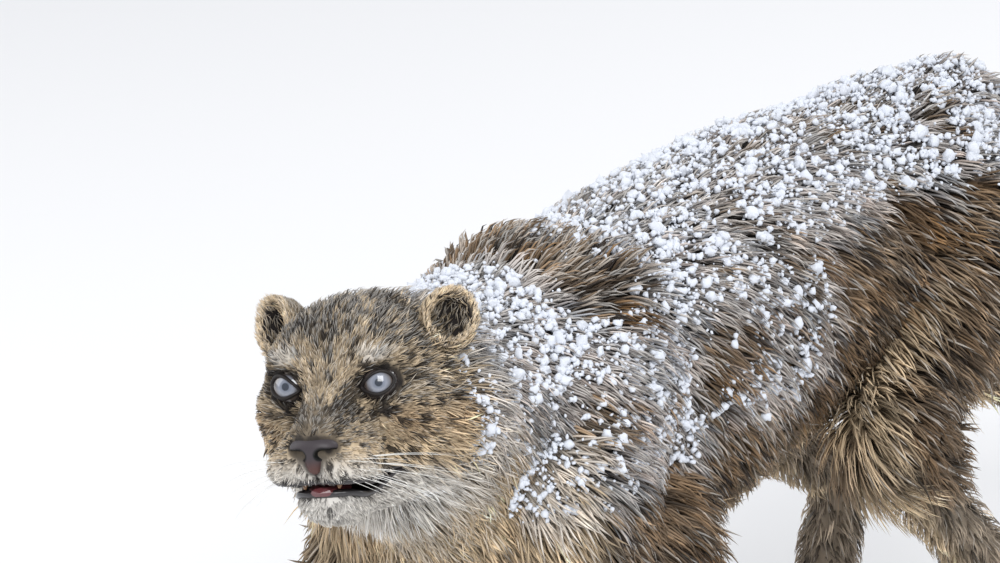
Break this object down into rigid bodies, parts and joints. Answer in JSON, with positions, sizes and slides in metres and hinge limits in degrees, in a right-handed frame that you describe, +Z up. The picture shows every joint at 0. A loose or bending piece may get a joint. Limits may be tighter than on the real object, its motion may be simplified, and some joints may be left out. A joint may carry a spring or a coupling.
{
  "type": "snow leopard",
  "caption": "Life-size standing snow leopard walking low on all fours, back arched, head turned to its left and long bushy tail trailing.",
  "frame": {"origin": "centre of the bounding box's footprint, on the floor under the paws", "axes": "+X towards the animal's left, -Y forwards from tail to head, +Z up"},
  "size_m": [0.3346, 1.7847, 0.6114],
  "materials": {
    "coat": "long winter fur, pale grey with ochre flanks and dark rosettes",
    "nose": "moist dark leather, reddish brown below",
    "eye": "clear wet cornea over a pale milky blue-grey iris",
    "tongue": "wet pink"
  },
  "bodies": {
    "root": {"shoulder_left": "coat", "forearm_left": "coat", "forepaw_left": "coat", "shoulder_right": "coat", "forearm_right": "coat", "forepaw_right": "coat", "thigh_left": "coat", "shank_left": "coat", "hindfoot_left": "coat", "hindpaw_left": "coat", "thigh_right": "coat", "shank_right": "coat", "hindfoot_right": "coat", "hindpaw_right": "coat", "head": "coat", "lower_jaw": "coat", "nose_leather": "nose", "tongue": "tongue", "eye_left": "eye", "ear_left": "coat", "eye_right": "eye", "ear_right": "coat", "neck": "coat", "chest": "coat", "belly": "coat", "rump": "coat", "tail_1": "coat", "tail_2": "coat", "tail_3": "coat", "tail_4": "coat", "tail_5": "coat"}
  },
  "joints": []
}
